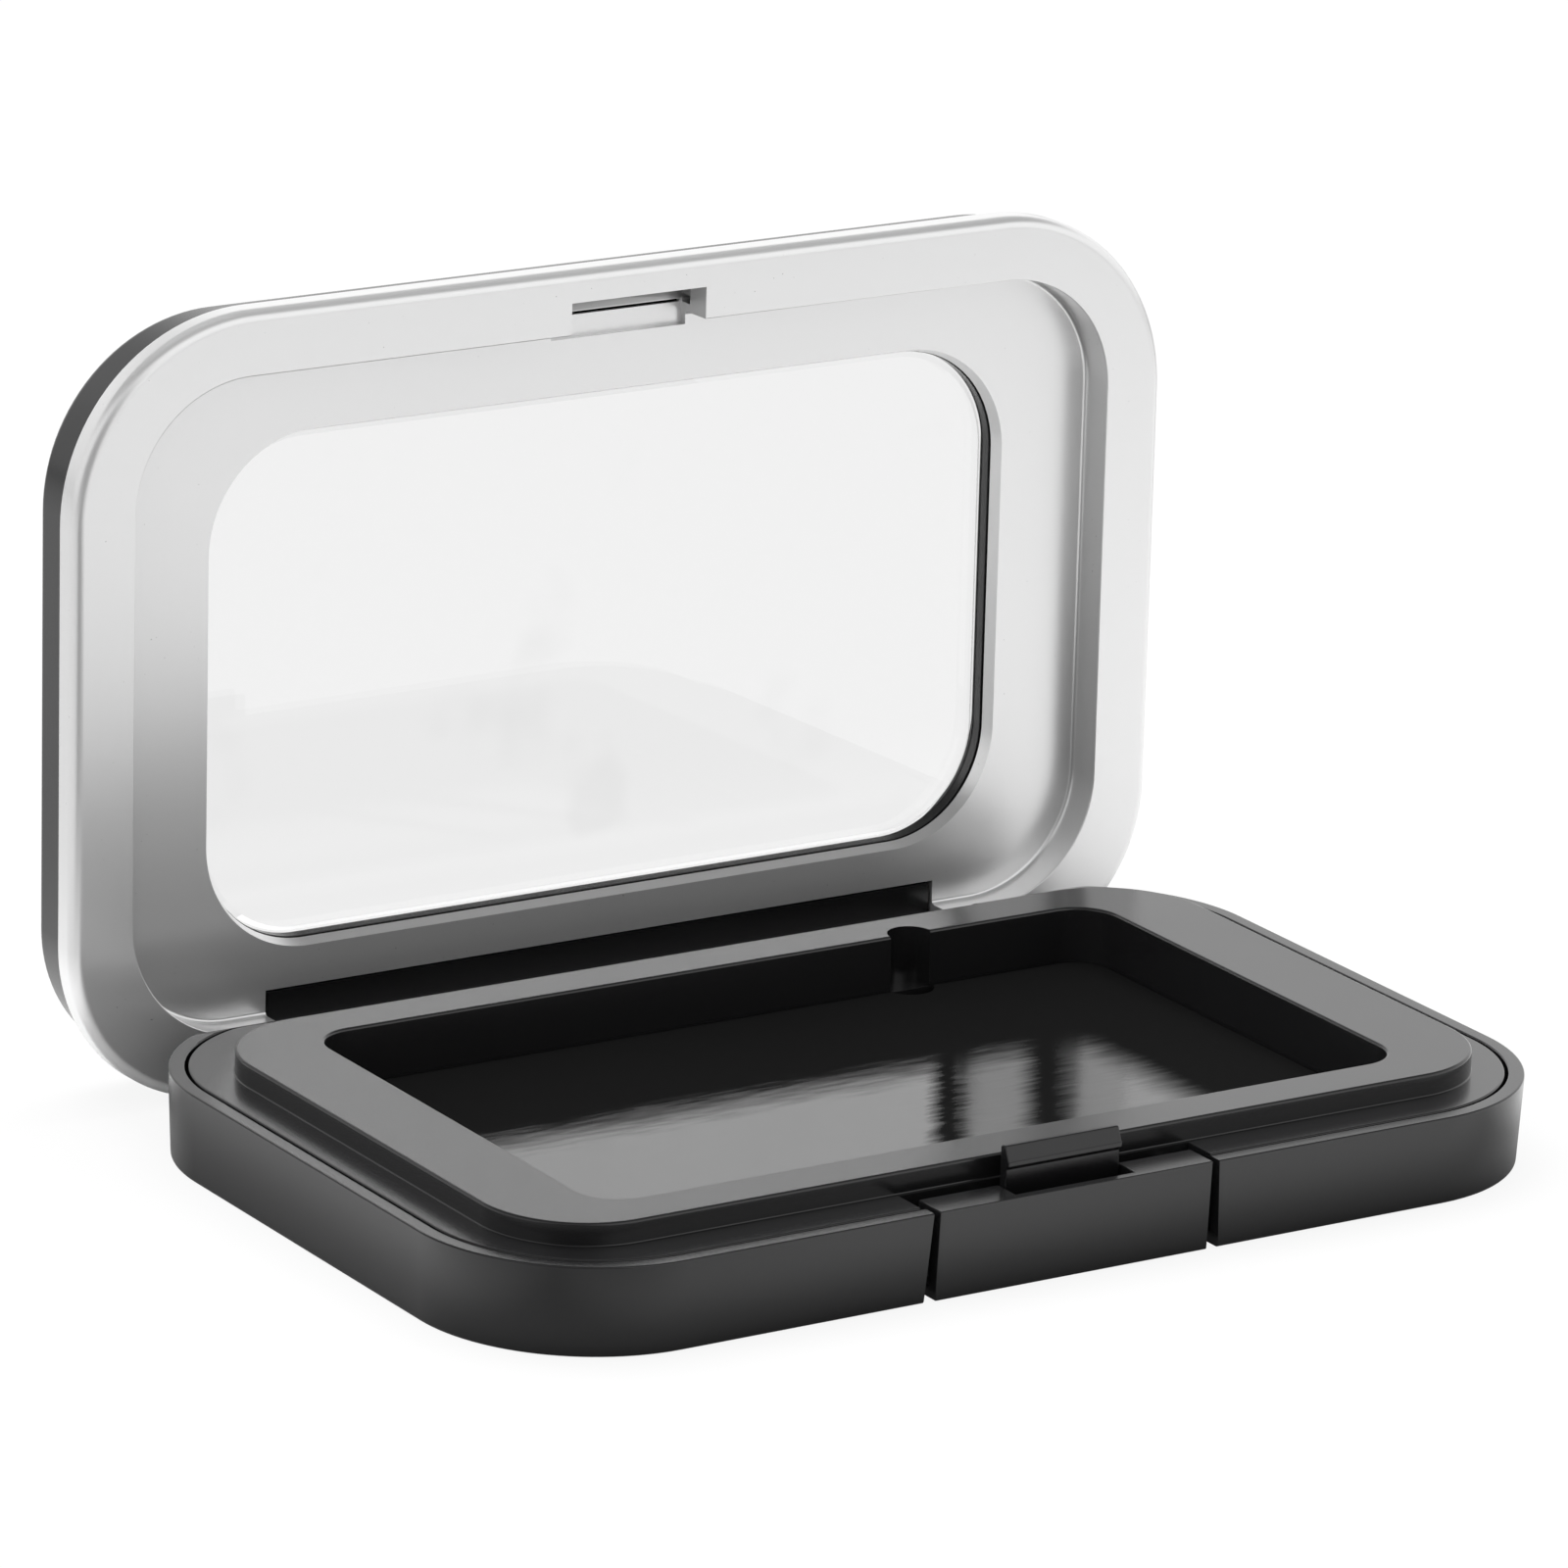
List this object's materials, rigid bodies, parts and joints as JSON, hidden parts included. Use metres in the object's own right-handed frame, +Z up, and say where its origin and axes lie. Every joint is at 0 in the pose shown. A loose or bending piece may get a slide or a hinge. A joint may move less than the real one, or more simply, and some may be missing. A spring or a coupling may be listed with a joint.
{
  "type": "magnetic makeup palette",
  "caption": "Flat compact case with a hinged, windowed lid, a magnetic pan well in a raised insert, and a push button latch with a hook.",
  "frame": {"origin": "centre of the base's flat underside", "axes": "+Z up, +X along the hinge to the right of someone facing the push button, -Y towards the push button"},
  "size_m": [0.1218, 0.0884, 0.0763],
  "materials": {
    "black": "satin moulded plastic",
    "gloss_black": "glossy",
    "magnet_film": "flexible magnet sheet with a glossy film",
    "silver": "satin silver paint on plastic",
    "clear": "clear polished plastic",
    "steel": "drawn wire"
  },
  "bodies": {
    "base": {"base_shell": "black", "inner_tray": "black", "magnet_sheet": "magnet_film", "hinge_pin_left": "steel", "hinge_pin_right": "steel", "button_spring_left": "steel", "button_spring_right": "steel"},
    "latch": {"push_button": "black", "latch_hook": "gloss_black"},
    "lid": {"lid_frame": "silver", "lid_cover": "black", "window_pane": "clear", "hinge_block": "black"}
  },
  "joints": [
    {"name": "lid_hinge", "type": "hinge", "parent": "base", "child": "lid", "pos_m": [0, 0.0343, 0.00348], "axis": [1, 0, 0], "range_deg": [0, 91]},
    {"name": "button_slide", "type": "slide", "parent": "base", "child": "latch", "axis": [0, 1, 0], "range_m": [0, 0.0012], "stiffness_N_per_m": 900, "springref_m": -0.001}
  ]
}
